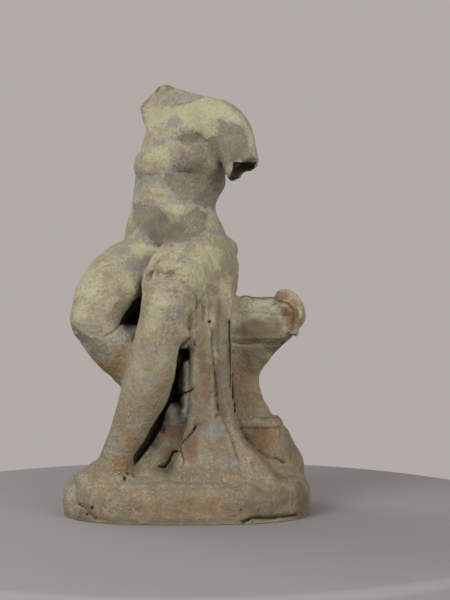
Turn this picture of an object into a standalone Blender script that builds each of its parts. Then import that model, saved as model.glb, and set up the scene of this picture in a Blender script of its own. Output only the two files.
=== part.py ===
"""A seated woman in fired clay, headless and without arms, on a moulded seat and a low plinth, in one piece.

The plinth's underside is at z = 0. The front, with the knees, faces -Y, and +X is the viewer's right.
The body, the cloth and the hand are laid out in shares of the figure's own height, as a modeller works from
one measure. The plinth and the seat have sizes of their own.
"""

import math

import bmesh
import bpy
import numpy as np
from mathutils import Matrix, Vector, noise

# Driving sizes, in metres
FIGURE_HEIGHT = 0.180  # from the plinth's top to the broken neck
PLINTH_WIDTH = 0.1125
PLINTH_DEPTH = 0.080
PLINTH_HEIGHT = 0.017
PLINTH_EDGE = 0.0075  # radius of the rounded rim
PLINTH_DOME = 0.0032  # rise of its top towards the middle
PLINTH_SQUARENESS = 2.7  # 2 is an ellipse, more is squarer
SEAT_WIDTH = 0.0475  # of the shaft
SEAT_DEPTH = 0.027
SEAT_CENTRE = (0.0095, 0.0170)
SEAT_CORNER = 0.007
CORNICE_HEIGHT = 0.0185
CORNICE_OVERHANG = (0.0162, 0.0088)  # to each side, and to the front and back
CORNICE_EDGE = 0.0036  # how far its worn upper edge is rounded
CAVETTO_HEIGHT = 0.0175
FOOT_MOULDING_HEIGHT = 0.023  # from the plinth's top
FOOT_MOULDING_OVERHANG = (0.0110, 0.0062)
APOPHYGE_HEIGHT = 0.012  # the curve between shaft and foot moulding

# Fineness of the modelling
BODY_VOXEL = FIGURE_HEIGHT / 164
CLAY_VOXEL = FIGURE_HEIGHT / 190
TRIANGLES = 8900
TRIM = 0.004  # clay below z = 0, before the underside is cut flat

# One share is a 180th of the figure's height, and the figure's heights start at the plinth's top
SHARE = FIGURE_HEIGHT / 180
SEAT_TOP = 80.7  # in shares, level with the back of the knees

RING_SIDES = 20
STEPS = 5  # rings from one station to the next

# Body: (x, y, z, half width, half depth) in shares, with the turn of that section about z in degrees
TORSO = [
    (-1.0, 18.0, 73, 20.0, 16.0, 25),
    (-2.0, 18.0, 82, 24.5, 20.5, 25),
    (-3.5, 17.0, 92, 27.0, 21.5, 27),
    (-5.0, 15.5, 103, 27.5, 20.5, 30),
    (-6.8, 14.5, 113, 25.2, 19.0, 33),
    (-7.3, 14.0, 122, 21.8, 16.6, 36),
    (-6.0, 13.5, 132, 22.6, 16.0, 39),
    (-3.0, 12.5, 143, 24.8, 16.6, 41),
    (-0.8, 12.0, 153, 25.5, 16.2, 42),
    (0.2, 12.0, 161, 24.0, 14.2, 42),
    (-0.5, 12.5, 168, 20.0, 12.0, 42),
    (-3.0, 14.0, 174, 12.5, 10.0, 42),
    (-4.0, 14.5, 180, 9.8, 9.0, 42),
    (-4.5, 14.5, 188, 9.2, 8.8, 42),
]

# Limbs: (x, y, z, radius) in shares
RIGHT_ARM = [(-8, 20, 157, 10.5), (-13.5, 24.5, 168, 9.4), (-17.0, 27.5, 184, 8.6)]
LEFT_SHOULDER = [(-3, 13, 172, 9.0), (6, 5, 165.5, 9.6), (13.5, -1.5, 160, 11.6), (17.0, -4, 157.5, 10.8)]
LEFT_ARM = [(15.5, -2, 158, 12.2), (19.0, -4.6, 154.5, 11.2), (22.7, -8.4, 146.5, 9.2), (26.8, -13.2, 132, 7.0)]
RIGHT_THIGH = [
    (-13, 17, 90, 18.5),
    (-22.5, 9, 91.5, 17.6),
    (-31.5, -1, 87, 16.0),
    (-36.8, -11, 79.5, 14.3),
    (-40.5, -18.5, 72, 11.6),
]
INNER_THIGH = [(-12, 8, 90, 12.0), (-18.5, -2, 89.5, 9.6), (-25.5, -9.5, 84.8, 7.6), (-33, -15, 77, 8.0)]
RIGHT_SHIN = [
    (-41.5, -19.5, 70, 9.8),
    (-34.5, -16, 59.8, 10.3),
    (-23, -10.5, 47.5, 10.2),
    (-15.5, -6.5, 37, 8.8),
    (-9.5, -3.5, 28.8, 7.6),
    (-3.6, -1.0, 20.5, 7.2),
]
RIGHT_FOOT = [
    (-3.8, -2.0, 20.5, 7.3),
    (-8, -7, 15, 7.0),
    (-13, -11, 9.5, 6.8),
    (-18, -15, 5, 6.2),
    (-22, -17, 2, 5.2),
]
LEFT_THIGH = [(6, 9, 93, 16.5), (0, -8, 91, 15.0), (-5, -20, 85.5, 13.4), (-8.5, -28, 79.5, 11.6)]
LEFT_SHIN = [
    (-8.5, -29.5, 79, 10.9),
    (-10.5, -28.5, 69, 10.2),
    (-13.5, -26.5, 57.5, 10.4),
    (-17.2, -24.0, 42.5, 11.2),
    (-21.3, -22.5, 30.4, 9.6),
    (-26.5, -21.5, 18, 8.2),
    (-30, -20.5, 10, 7.8),
    (-31, -20.0, 3, 8.0),
]
LEFT_FOOT = [(-29, -19, 4, 8.0), (-36, -21.5, 2.0, 7.6), (-42.5, -22.0, -0.8, 6.4), (-47, -21.5, -3.5, 5.2)]

BODY_LIMBS = [
    RIGHT_ARM,
    LEFT_SHOULDER,
    LEFT_ARM,
    RIGHT_THIGH,
    INNER_THIGH,
    RIGHT_SHIN,
    RIGHT_FOOT,
    LEFT_THIGH,
    LEFT_SHIN,
    LEFT_FOOT,
]

# Clay left under the raised heel: (x, y, z, radius)
HEEL_CLAY = [(3.5, -1.0, 18.5, 4.4), (1.0, -3.5, 12, 6.4), (-3.5, -7, 3, 7.6), (-6, -9, -3, 8.0)]
# Clay that closes the space behind the two feet
FEET_CLAY = [(-14.5, -1.0, 32, 7.0), (-18.0, -4.0, 20, 8.0), (-21.0, -6.5, 8, 8.5), (-23.0, -8.0, -3, 9.0)]

# Rounded forms: (x, y, z), (half sizes), turn about z in degrees
SOFT_FORMS = [
    ((0.8, -2.6, 145), (9.4, 8.6, 9.4), 42),  # left breast
    ((-16.6, 11.4, 142), (9.6, 8.8, 9.6), 42),  # right breast
    ((-10.5, 3.5, 106), (16.5, 10.5, 13.0), 34),  # belly
    ((-8.5, 3.0, 121), (13.0, 8.0, 9.0), 36),  # midriff
    ((-9.0, 27.5, 88), (15.0, 12.0, 15.5), 25),  # right buttock
    ((10.0, 23.5, 88), (14.0, 12.5, 15.0), 25),  # left buttock
    ((-1.5, 22.0, 150), (9.0, 9.0, 14.0), 42),  # right shoulder blade
    ((11.0, 13.0, 149), (10.0, 9.5, 14.0), 42),  # left shoulder blade
    ((-41.5, -19.5, 70.5), (10.3, 10.0, 11.5), 20),  # right knee
    ((-24.5, -8.0, 58.2), (12.5, 10.0, 10.6), 0),  # right calf
    ((-9.2, -30.0, 80.0), (10.0, 9.0, 10.0), 10),  # left knee
]

# Cloth on the lap and hip: limbs and rounded forms as above
LAP_CLOTH = [(9, 11, 95, 16.0), (3, -6, 94.5, 15.6), (-3.5, -18, 90, 14.6), (-7.6, -27.5, 83, 13.0)]
HIP_CLOTH = [((9.5, 10.5, 93), (13.0, 16.0, 17.0), 20), ((4.0, 21.5, 88), (19.5, 16.0, 13.5), 25)]

# Rolled edge of the cloth, from the left knee's inner side over the belly and round the back: (x, y, z, radius)
CLOTH_ROLL = [
    (-17.5, -22, 82, 2.2),
    (-16.3, -17, 90, 2.8),
    (-11.0, -11.5, 99.5, 3.2),
    (-2.0, -9.0, 105.5, 3.4),
    (9.0, -5.0, 107, 3.6),
    (18.0, 4.0, 105, 3.6),
    (20.0, 16, 102, 3.4),
    (15.0, 29, 99.5, 3.2),
    (2.0, 35.6, 97, 3.0),
    (-14.0, 36.0, 93, 2.8),
    (-26.5, 29, 89, 2.4),
]
# Folds across the lap, each a path of (x, y, z, radius)
LAP_FOLDS = [
    [
        (-15.5, -24, 83, 1.4),
        (-11.5, -25, 93.5, 2.0),
        (-2.0, -23, 98.5, 2.2),
        (8.0, -16, 94, 2.2),
        (14.5, -16, 82, 1.6),
    ],
    [
        (-14.5, -18, 92, 1.4),
        (-7.0, -15, 101, 2.1),
        (4.0, -12, 104, 2.3),
        (14.0, -7, 99, 2.2),
        (19.0, -9, 86, 1.6),
    ],
]

# Cloth that falls from the left thigh: (z, left x, right x, front y, x of the fold between its two bands)
FALL = [
    (90, -3.0, 21.0, -13.0, 11.0),
    (80, -4.5, 20.6, -21.0, 11.6),
    (70, -3.5, 20.0, -23.5, 12.4),
    (64, 0.2, 19.9, -24.2, 12.6),
    (58, 1.2, 19.9, -24.5, 12.7),
    (48, 1.4, 19.9, -24.5, 12.8),
    (35, 1.2, 20.2, -24.5, 13.2),
    (25, 0.2, 22.0, -25.0, 14.6),
    (17, -1.5, 25.5, -26.5, 18.6),
    (10, -4.0, 32.5, -28.5, 20.6),
    (4, -6.0, 38.0, -30.0, 21.5),
    (-3, -7.0, 40.0, -31.0, 22.0),
]
FOLD_DEPTH = 2.6
FOLD_WIDTH = 2.3
FALL_SIDES = 26  # points across its front

# Rough ground beside the seat: (x from the end of its foot moulding, y from its middle, z), (half sizes)
ROCK = [((-6.2, -8.0, 2.0), (16.4, 18.0, 20.5)), ((-20.0, 3.0, 0.0), (26.0, 15.5, 9.0))]

# Hand that grips the end of the seat, from the broken wrist to the finger tips: (x from the cornice's end,
# y from its front, z from the seat's top, radius)
HAND = [
    (-8.9, 1.8, -1.3, 4.2),
    (-4.2, 0.8, -1.7, 4.7),
    (-0.2, 0.8, -5.5, 4.5),
    (0.2, 0.8, -11.7, 4.0),
    (-1.8, 0.8, -17.2, 3.2),
]

# Broken faces: centre, outward direction, and half size of the block that removes what was there
NECK_BREAK = ((-3.0, 14.0, 177.4), (0.30, -0.05, 1.0), 22.0)
RIGHT_ARM_BREAK = ((-18.0, 27.0, 178.0), (-0.72, -0.08, 0.70), 18.0)
LEFT_ARM_BREAK = ((25.7, -12.5, 138.0), (0.50, -0.40, -0.77), 16.0)
BREAK_ROUGHNESS = 1.1
LEFT_ARM_HOLLOW = (5.7, 11.0)  # radius and depth of the hollow that shows in the arm's break


def place(x, y, z):
    """A point given in shares, from the plinth's top."""
    return Vector((x, y, z)) * SHARE + Vector((0, 0, PLINTH_HEIGHT))


def smooth_stations(stations):
    """The stations with rings worked out between them, on a Catmull-Rom curve through each column."""
    rows = np.array(stations, float)
    padded = np.vstack([2 * rows[0] - rows[1], rows, 2 * rows[-1] - rows[-2]])
    made = []
    for before, a, b, after in zip(padded, padded[1:], padded[2:], padded[3:]):
        for t in np.arange(STEPS) / STEPS:
            made.append(
                0.5 * (2 * a + (b - before) * t + (2 * before - 5 * a + 4 * b - after) * t**2
                       + (3 * a - before - 3 * b + after) * t**3)
            )
    made.append(rows[-1])
    return np.array(made)


def loft(clay, rings):
    """Adds a closed skin over a row of rings with equal counts of points."""
    made = [[clay.verts.new(p) for p in ring] for ring in rings]
    for lower, upper in zip(made, made[1:]):
        for i in range(len(lower)):
            j = (i + 1) % len(lower)
            clay.faces.new((lower[i], lower[j], upper[j], upper[i]))
    clay.faces.new(made[0][::-1])
    clay.faces.new(made[-1])


def add_torso(clay, stations):
    """Level elliptical sections, each turned about z."""
    rings = []
    for x, y, z, half_width, half_depth, turn in smooth_stations(stations):
        about_z = Matrix.Rotation(-math.radians(turn), 3, "Z")
        ring = []
        for i in range(RING_SIDES):
            angle = 2 * math.pi * i / RING_SIDES
            offset = about_z @ Vector((half_width * math.cos(angle), half_depth * math.sin(angle), 0))
            ring.append(place(x + offset.x, y + offset.y, z))
        rings.append(ring)
    loft(clay, rings)


def add_limb(clay, stations):
    """Round sections square to the limb's path."""
    rows = smooth_stations(stations)
    centres = [place(*row[:3]) for row in rows]
    rings = []
    side = Vector((1, 0, 0))
    for i, row in enumerate(rows):
        along = (centres[min(i + 1, len(rows) - 1)] - centres[max(i - 1, 0)]).normalized()
        side = (side - along * side.dot(along)).normalized()
        other = along.cross(side)
        ring = []
        for k in range(RING_SIDES):
            angle = 2 * math.pi * k / RING_SIDES
            ring.append(centres[i] + (side * math.cos(angle) + other * math.sin(angle)) * row[3] * SHARE)
        rings.append(ring)
    loft(clay, rings)


def add_rounded_form(clay, centre, half_sizes, turn):
    """An ellipsoid, its first half size across the body and its second from front to back."""
    matrix = (
        Matrix.Translation(place(*centre))
        @ Matrix.Rotation(-math.radians(turn), 4, "Z")
        @ Matrix.Diagonal((*(Vector(half_sizes) * SHARE), 1))
    )
    bmesh.ops.create_uvsphere(clay, u_segments=24, v_segments=16, radius=1, matrix=matrix)


def add_fall(clay, stations):
    """The hanging cloth: level sections whose front is two bands with a fold between them."""
    rings = []
    for z, left, right, front, fold in smooth_stations(stations):
        xs = np.linspace(left, right, FALL_SIDES)
        across = (xs - left) / (right - left)
        rounding = 3.2 * (1 - np.sqrt(np.clip(1 - (2 * across - 1) ** 4, 0, 1)))
        groove = FOLD_DEPTH * np.exp(-(((xs - fold) / FOLD_WIDTH) ** 2))
        ys = front + rounding + groove
        ring = [place(x, y, z) for x, y in zip(xs, ys)]
        back = SEAT_CENTRE[1] / SHARE
        ring += [place(right, back, z), place(left, back, z)]
        rings.append(ring)
    loft(clay, rings)


def rounded_rectangle(half_x, half_y, corner):
    """Corners as quarter circles, anticlockwise from the +X side."""
    per_corner = 6
    points = []
    for quarter, (sx, sy) in enumerate([(1, 1), (-1, 1), (-1, -1), (1, -1)]):
        for i in range(per_corner):
            angle = math.pi / 2 * (quarter + i / (per_corner - 1))
            x = sx * (half_x - corner) + corner * math.cos(angle)
            y = sy * (half_y - corner) + corner * math.sin(angle)
            points.append((x, y))
    return points


def seat_profile():
    """(height, overhang to the sides, overhang to front and back) up the seat, in metres."""
    top = PLINTH_HEIGHT + SEAT_TOP * SHARE
    cornice = top - CORNICE_HEIGHT
    shaft_top = cornice - CAVETTO_HEIGHT
    foot_top = PLINTH_HEIGHT + FOOT_MOULDING_HEIGHT
    rows = [(PLINTH_HEIGHT * 0.7, 1.1), ((PLINTH_HEIGHT + foot_top) / 2, 1.03), (foot_top, 1.0)]
    rows = [(z, FOOT_MOULDING_OVERHANG[0] * k, FOOT_MOULDING_OVERHANG[1] * k) for z, k in rows]
    for i in range(1, 6):
        # The apophyge is a quarter of an ellipse from the moulding in to the shaft
        angle = math.pi / 2 * i / 5
        k = 1 - math.sin(angle)
        z = foot_top + APOPHYGE_HEIGHT * (1 - math.cos(angle))
        rows.append((z, FOOT_MOULDING_OVERHANG[0] * k, FOOT_MOULDING_OVERHANG[1] * k))
    for i in range(6):
        # The cavetto curves back out to the cornice
        angle = math.pi / 2 * i / 5
        k = 0.90 * (0.45 * (1 - math.cos(angle)) + 0.55 * i / 5)
        z = shaft_top + CAVETTO_HEIGHT * (i / 5)
        rows.append((z, CORNICE_OVERHANG[0] * k, CORNICE_OVERHANG[1] * k))
    for below in (CORNICE_HEIGHT - 0.6 * CORNICE_EDGE, CORNICE_EDGE):
        rows.append((top - below, *CORNICE_OVERHANG))
    for below, inset in [(0.3 * CORNICE_EDGE, 0.3 * CORNICE_EDGE), (0, CORNICE_EDGE)]:
        rows.append((top - below, CORNICE_OVERHANG[0] - inset, CORNICE_OVERHANG[1] - inset))
    return rows


def add_seat(clay):
    rings = []
    for z, over_x, over_y in seat_profile():
        outline = rounded_rectangle(SEAT_WIDTH / 2 + over_x, SEAT_DEPTH / 2 + over_y, SEAT_CORNER)
        rings.append([Vector((SEAT_CENTRE[0] + x, SEAT_CENTRE[1] + y, z)) for x, y in outline])
    loft(clay, rings)


def add_seat_dressing(clay):
    """The hand on the end of the cornice, and the rough ground against the foot moulding."""
    end = (SEAT_CENTRE[0] + SEAT_WIDTH / 2 + CORNICE_OVERHANG[0]) / SHARE
    front = (SEAT_CENTRE[1] - SEAT_DEPTH / 2 - CORNICE_OVERHANG[1]) / SHARE
    add_limb(clay, [(end + x, front + y, SEAT_TOP + z, radius) for x, y, z, radius in HAND])
    foot_end = (SEAT_CENTRE[0] + SEAT_WIDTH / 2 + FOOT_MOULDING_OVERHANG[0]) / SHARE
    middle = SEAT_CENTRE[1] / SHARE
    for (x, y, z), half_sizes in ROCK:
        add_rounded_form(clay, (foot_end + x, middle + y, z), half_sizes, 0)


def add_plinth(clay):
    """A low superellipse with a rounded rim and a slightly domed top, from below z = 0 so that it can be cut flat."""
    rings = []
    rim = [(-TRIM, 0.0), (PLINTH_HEIGHT - PLINTH_EDGE, 0.0)]
    rim += [
        (PLINTH_HEIGHT - PLINTH_EDGE * (1 - math.sin(a)), PLINTH_EDGE * (1 - math.cos(a)))
        for a in np.radians([30, 60, 90])
    ]
    rim.append((PLINTH_HEIGHT + PLINTH_DOME * 0.62, PLINTH_DEPTH * 0.24))
    rim.append((PLINTH_HEIGHT + PLINTH_DOME, PLINTH_DEPTH * 0.42))
    for z, inset in rim:
        ring = []
        for i in range(64):
            angle = 2 * math.pi * i / 64
            c, s = math.cos(angle), math.sin(angle)
            power = 2 / PLINTH_SQUARENESS
            x = (PLINTH_WIDTH / 2 - inset) * math.copysign(abs(c) ** power, c)
            y = (PLINTH_DEPTH / 2 - inset) * math.copysign(abs(s) ** power, s)
            ring.append(Vector((x, y, z)))
        rings.append(ring)
    loft(clay, rings)


def clay_object(name, clay, collection):
    mesh = bpy.data.meshes.new(name)
    clay.to_mesh(mesh)
    clay.free()
    obj = bpy.data.objects.new(name, mesh)
    collection.objects.link(obj)
    return obj


def fuse(obj, voxel, smoothing):
    """Makes overlapping masses one skin and softens where they meet, as wet clay is smoothed over."""
    remesh = obj.modifiers.new("Fuse", "REMESH")
    remesh.mode = "VOXEL"
    remesh.voxel_size = voxel
    soften = obj.modifiers.new("Soften", "SMOOTH")
    soften.factor = 0.5
    soften.iterations = smoothing


def evaluated(obj):
    graph = bpy.context.evaluated_depsgraph_get()
    return bpy.data.meshes.new_from_object(obj.evaluated_get(graph))


def broken_block(name, centre, outward, half_size, collection):
    """A block whose inner face is rough, to leave a fracture where it is cut away."""
    cells = 18
    block = bmesh.new()
    bmesh.ops.create_grid(block, x_segments=cells, y_segments=cells, size=half_size * SHARE)
    for vert in block.verts:
        coarse = noise.noise(vert.co / (4.5 * SHARE) + Vector(centre))
        fine = noise.noise(vert.co / (1.9 * SHARE) + Vector(centre))
        vert.co.z = BREAK_ROUGHNESS * SHARE * (coarse + 0.5 * fine)
    edges = [edge for edge in block.edges if edge.is_boundary]
    raised = bmesh.ops.extrude_edge_only(block, edges=edges)["geom"]
    rim = [item for item in raised if isinstance(item, bmesh.types.BMVert)]
    for vert in rim:
        vert.co.z = half_size * SHARE
    bmesh.ops.holes_fill(block, edges=[e for e in block.edges if e.is_boundary])
    bmesh.ops.recalc_face_normals(block, faces=block.faces)
    turn = Vector(outward).to_track_quat("Z", "Y").to_matrix().to_4x4()
    bmesh.ops.transform(block, matrix=Matrix.Translation(place(*centre)) @ turn, verts=block.verts)
    return as_cutter(clay_object(name, block, collection))


def as_cutter(obj):
    obj.hide_render = True
    obj.display_type = "WIRE"
    return obj


def cut(obj, cutter):
    modifier = obj.modifiers.new(cutter.name, "BOOLEAN")
    modifier.operation = "DIFFERENCE"
    modifier.object = cutter


def terracotta():
    material = bpy.data.materials.new("terracotta")
    material.use_nodes = True
    shader = material.node_tree.nodes["Principled BSDF"]
    shader.inputs["Base Color"].default_value = (0.235, 0.190, 0.120, 1)
    shader.inputs["Roughness"].default_value = 0.92
    shader.inputs["Metallic"].default_value = 0.0
    return material


def model_body(collection):
    clay = bmesh.new()
    add_torso(clay, TORSO)
    for limb in BODY_LIMBS:
        add_limb(clay, limb)
    for centre, half_sizes, turn in SOFT_FORMS:
        add_rounded_form(clay, centre, half_sizes, turn)
    body = as_cutter(clay_object("body", clay, collection))
    fuse(body, BODY_VOXEL, 7)
    return body


def model_dressed(body, collection):
    """The body's skin with the cloth, the hand, the seat and the plinth fused to it."""
    clay = bmesh.new()
    clay.from_mesh(evaluated(body))
    add_limb(clay, LAP_CLOTH)
    add_limb(clay, CLOTH_ROLL)
    for fold in LAP_FOLDS:
        add_limb(clay, fold)
    add_limb(clay, HEEL_CLAY)
    add_limb(clay, FEET_CLAY)
    for centre, half_sizes, turn in HIP_CLOTH:
        add_rounded_form(clay, centre, half_sizes, turn)
    add_fall(clay, FALL)
    add_seat(clay)
    add_seat_dressing(clay)
    add_plinth(clay)
    statue = clay_object("seated_woman", clay, collection)
    fuse(statue, CLAY_VOXEL, 3)
    return statue


def simplify(statue):
    faces = len(evaluated(statue).polygons)
    decimate = statue.modifiers.new("Simplify", "DECIMATE")
    decimate.ratio = TRIANGLES / (2 * faces)


def cut_breaks(statue, cutters):
    for name, (centre, outward, half_size) in {
        "neck_break": NECK_BREAK,
        "right_arm_break": RIGHT_ARM_BREAK,
        "left_arm_break": LEFT_ARM_BREAK,
    }.items():
        cut(statue, broken_block(name, centre, outward, half_size, cutters))


def hollow_left_arm(statue, cutters):
    """The open core of the broken arm, a blunt cone into the stump."""
    radius, depth = LEFT_ARM_HOLLOW
    centre, outward, _ = LEFT_ARM_BREAK
    direction = Vector(outward).normalized()
    cone = bmesh.new()
    bmesh.ops.create_cone(
        cone, cap_ends=True, segments=14, radius1=radius * 0.55 * SHARE, radius2=radius * 1.15 * SHARE,
        depth=2 * depth * SHARE,
    )
    turn = direction.to_track_quat("Z", "Y").to_matrix().to_4x4()
    bmesh.ops.transform(cone, matrix=Matrix.Translation(place(*centre)) @ turn, verts=cone.verts)
    cut(statue, as_cutter(clay_object("left_arm_hollow", cone, cutters)))


def cut_flat(statue, cutters):
    """Trims the plinth to a true flat underside at z = 0."""
    ground = bmesh.new()
    bmesh.ops.create_cube(ground, size=1)
    size = Vector((PLINTH_WIDTH * 2, PLINTH_DEPTH * 2, TRIM * 5))
    matrix = Matrix.Translation((0, 0, -size.z / 2)) @ Matrix.Diagonal((*size, 1))
    bmesh.ops.transform(ground, matrix=matrix, verts=ground.verts)
    cut(statue, as_cutter(clay_object("ground", ground, cutters)))


def new_collection(name):
    collection = bpy.data.collections.new(name)
    bpy.context.scene.collection.children.link(collection)
    return collection


def main():
    for obj in list(bpy.data.objects):
        bpy.data.objects.remove(obj)
    parts = new_collection("seated_woman")
    helpers = new_collection("cutters")
    body = model_body(helpers)
    statue = model_dressed(body, parts)
    statue.data.materials.append(terracotta())
    simplify(statue)
    cut_breaks(statue, helpers)
    hollow_left_arm(statue, helpers)
    cut_flat(statue, helpers)


main()
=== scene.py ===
"""A headless woman of fired clay, seated on a moulded block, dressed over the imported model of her."""
import logging
import math
from dataclasses import dataclass, field
from enum import Enum

import bmesh
import bpy
import numpy as np
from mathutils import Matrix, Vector


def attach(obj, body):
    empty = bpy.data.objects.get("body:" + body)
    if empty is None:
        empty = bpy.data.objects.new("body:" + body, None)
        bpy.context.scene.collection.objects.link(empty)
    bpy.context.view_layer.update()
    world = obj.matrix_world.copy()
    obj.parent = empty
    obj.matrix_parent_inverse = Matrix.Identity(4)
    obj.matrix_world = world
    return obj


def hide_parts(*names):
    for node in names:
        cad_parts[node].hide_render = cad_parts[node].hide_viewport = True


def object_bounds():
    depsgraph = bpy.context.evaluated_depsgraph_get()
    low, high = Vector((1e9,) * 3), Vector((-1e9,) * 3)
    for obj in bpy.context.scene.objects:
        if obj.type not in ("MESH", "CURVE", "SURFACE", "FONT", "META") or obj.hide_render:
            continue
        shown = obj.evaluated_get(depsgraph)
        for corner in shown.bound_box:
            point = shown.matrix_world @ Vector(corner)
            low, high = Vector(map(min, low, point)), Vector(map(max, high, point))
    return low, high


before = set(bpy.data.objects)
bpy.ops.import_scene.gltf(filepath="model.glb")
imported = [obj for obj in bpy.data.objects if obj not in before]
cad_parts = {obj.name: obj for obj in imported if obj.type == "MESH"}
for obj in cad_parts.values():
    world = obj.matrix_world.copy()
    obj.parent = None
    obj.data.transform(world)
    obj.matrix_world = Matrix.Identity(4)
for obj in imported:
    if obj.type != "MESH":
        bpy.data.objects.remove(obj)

MM = 0.001
PLAIN_BOX = [list(map(float, corner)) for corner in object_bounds()]
log = logging.getLogger("seated woman")

Points = np.ndarray
Path = tuple[tuple[float, float], ...]


class Tint(Enum):
    """The coloured deposits and breaks, and the painted shade and painted light, each kept as a mask on the
    clay.
    """

    GOLD = "gold"
    STAIN = "stain"
    SLATE = "slate"
    RUST = "rust"
    ROSE = "rose"
    # Near black in grooves, cracks, holes, pits and creases: dirt and painted shade.
    DIRT_AND_SHADE = "dirt_and_shade"
    WEAR = "wear"
    # Darker towards the bottom and under its spots: brown earth and painted shade.
    EARTH_AND_SHADE = "earth_and_shade"
    # Painted shade: darkening in crowded gaps, along the floor and under its spots.
    PAINTED_SHADE = "painted_shade"
    CHALK = "chalk"
    # Pale grey that lightens places in shade and lifts the painted shade: ash grey and painted light.
    ASH_AND_PAINTED_LIGHT = "ash_and_painted_light"


def smoothstep(value: Points, low: float, high: float) -> Points:
    """A cubic step from 0 at low to 1 at high.

    Args:
        value: the values to step.
        low: where the step starts.
        high: where the step ends.

    Returns:
        3t^2 - 2t^3 of the share t of the way from low to high.
    """
    share = np.clip((value - low) / (high - low), 0.0, 1.0)
    return share * share * (3.0 - 2.0 * share)


CELL_STEPS = (374761393, 668265263, 2147483647)
SEED_STEP = 1274126177
STIR = 1103515245
HIGHEST = 0xFFFFFF


def lattice(cells: Points, seed: int) -> Points:
    """A repeatable number from 0 to 1 for each whole-number cell.

    Args:
        cells: whole coordinates, one row a cell.
        seed: which set of numbers.

    Returns:
        One number a row, from a multiply-and-shift mix of the three coordinates.
    """
    mixed = sum(cells[:, axis] * step for axis, step in enumerate(CELL_STEPS)) + seed * SEED_STEP
    mixed = (mixed ^ (mixed >> 13)) * STIR
    mixed = (mixed ^ (mixed >> 16)) & HIGHEST
    return mixed / float(HIGHEST)


def noise(points: Points, size: float, seed: int, octaves: int = 3) -> Points:
    """Smooth random values over space.

    Args:
        points: places in metres, one row each.
        size: the size of the largest lumps in metres.
        seed: which noise.
        octaves: how many sizes are added, each half the last in size and height.

    Returns:
        Values from about -1 to 1: lattice numbers blended over each cell by a cubic step, and summed over
        the octaves.
    """
    total = np.zeros(len(points))
    weight = 0.0
    for octave in range(octaves):
        share = 0.5 ** octave
        where = points / (size * share) + 31.7 * (octave + 1)
        corner = np.floor(where).astype(np.int64)
        part = where - corner
        part = part * part * (3.0 - 2.0 * part)
        blend = np.zeros(len(points))
        for step in range(8):
            shift = np.array([step & 1, (step >> 1) & 1, (step >> 2) & 1])
            near = np.prod(np.where(shift == 1, part, 1.0 - part), axis=1)
            blend += near * lattice(corner + shift, seed + 17 * octave)
        total += share * (2.0 * blend - 1.0)
        weight += share
    return total / weight


@dataclass(frozen=True)
class Sight:
    """The place that the figure is looked at from, level, and the photograph's frame.

    Fields: right, back and height, the eye's place in metres; pull, the frame units that one metre covers at
    a reach of one metre; wide and tall, the frame's size in its units.
    """

    right: float = 17.2 * MM
    back: float = -566.0 * MM
    height: float = 96.3 * MM
    pull: float = 1232.0
    wide: int = 450
    tall: int = 600

    def place(self, points: Points) -> tuple[Points, Points, Points]:
        """Where points appear in the photograph's frame.

        Args:
            points: places in metres, one row each.

        Returns:
            Distance across and down the frame, and the reach from the eye in metres.
        """
        reach = points[:, 1] - self.back
        across = self.wide / 2 + self.pull * (points[:, 0] - self.right) / reach
        down = self.tall / 2 - self.pull * (points[:, 2] - self.height) / reach
        return across, down, reach

    def facing(self, points: Points, normals: Points) -> Points:
        """How squarely the surface faces the eye, from 1 square on to -1 turned away."""
        away = points - np.array([self.right, self.back, self.height])
        return -np.einsum("ij,ij->i", away, normals) / np.linalg.norm(away, axis=1)

    def camera(self) -> bpy.types.Object:
        """Makes the camera, whose lens gives the pull over the frame's longer side.

        Returns:
            The camera, which the scene then looks through.
        """
        data = bpy.data.cameras.new("eye")
        data.sensor_width = 36.0
        data.lens = 36.0 * self.pull / self.tall
        data.clip_start = 0.01
        eye = bpy.data.objects.new("eye", data)
        eye.location = (self.right, self.back, self.height)
        eye.rotation_euler = (math.pi / 2, 0.0, 0.0)
        bpy.context.scene.collection.objects.link(eye)
        bpy.context.scene.camera = eye
        return eye


@dataclass(frozen=True)
class Stroke:
    """A line on the clay, drawn in the photograph's frame: a groove, a fold or a hem.

    Fields: path, in frame units; width, its half width in the same; lift in mm, raised above 0 and sunk
    below; then the dark that it holds, from 0 to 1, as grime and painted shade in the groove; furthest, the y
    in mm that it reaches back to; push, the direction that the lift goes where that isn't straight out.
    """

    path: Path
    width: float
    lift: float
    dirt_and_shade: float = 0.0
    furthest: float = 60.0
    push: tuple[float, float, float] | None = None


@dataclass(frozen=True)
class Swell:
    """A soft form pushed out of the clay or into it.

    Fields: its middle and half sizes in the photograph's frame, and how far its middle moves, in mm.
    """

    across: float
    down: float
    wide: float
    tall: float
    push: tuple[float, float, float]


@dataclass(frozen=True)
class Hollow:
    """A hole, pushed back and painted black inside as painted shade.

    Fields: its outline in the photograph's frame; its depth in mm; nearest and furthest, the y in mm that it
    reaches from and to.
    """

    outline: Path
    depth: float
    nearest: float
    furthest: float


@dataclass(frozen=True)
class Infill:
    """Clay that closes a slot: its outline in the photograph's frame, and the y in mm of its face."""

    outline: Path
    level: float


@dataclass(frozen=True)
class Lump:
    """A soft form on a side that the photograph doesn't show: its middle, half sizes and push, in mm.

    One that is all_round moves the front of the clay with the back.
    """

    middle: tuple[float, float, float]
    size: tuple[float, float, float]
    push: tuple[float, float, float]
    all_round: bool = False


@dataclass(frozen=True)
class Spot:
    """A patch of colour: its middle and half sizes in the photograph's frame, and how strong it is."""

    across: float
    down: float
    wide: float
    tall: float
    strength: float = 1.0


@dataclass(frozen=True)
class Pit:
    """A small round hole: its middle and radius in the photograph's frame, and its depth in mm."""

    across: float
    down: float
    radius: float
    depth: float


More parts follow.
